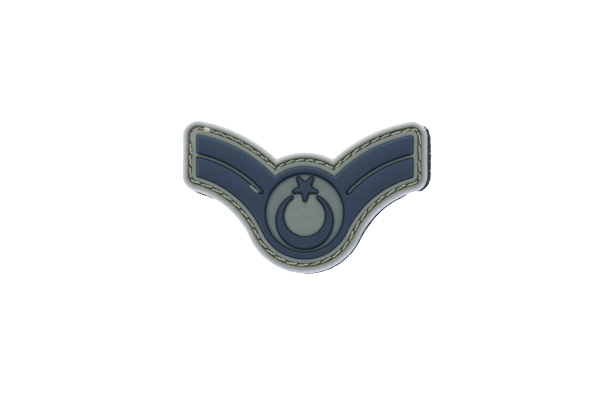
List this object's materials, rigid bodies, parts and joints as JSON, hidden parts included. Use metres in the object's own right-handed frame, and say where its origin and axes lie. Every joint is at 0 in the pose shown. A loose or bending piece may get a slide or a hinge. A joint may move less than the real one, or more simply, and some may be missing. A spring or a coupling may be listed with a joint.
{
  "type": "pvc rank patch",
  "caption": "Soft moulded rank patch: winged bars beside a round medallion with a raised crescent and star, a sewn border, and a hook tape backing.",
  "frame": {"origin": "under the medallion's centre, in the plane of the hook tips", "axes": "+X to the right as the face is seen, +Y to the top of the emblem, +Z out of the face"},
  "size_m": [0.0712, 0.0436, 0.0043],
  "materials": {
    "body_pvc": "soft matte moulded pvc, grey-green",
    "relief_pvc": "soft matte moulded pvc, navy",
    "hook_tape": "woven nylon hook tape, dark navy",
    "seam_thread": "twisted sewing thread, light olive"
  },
  "bodies": {
    "root": {"hook_backing": "hook_tape", "moulded_base": "body_pvc", "chevron_relief": "relief_pvc", "crescent_relief": "relief_pvc", "star_relief": "relief_pvc"}
  },
  "joints": []
}
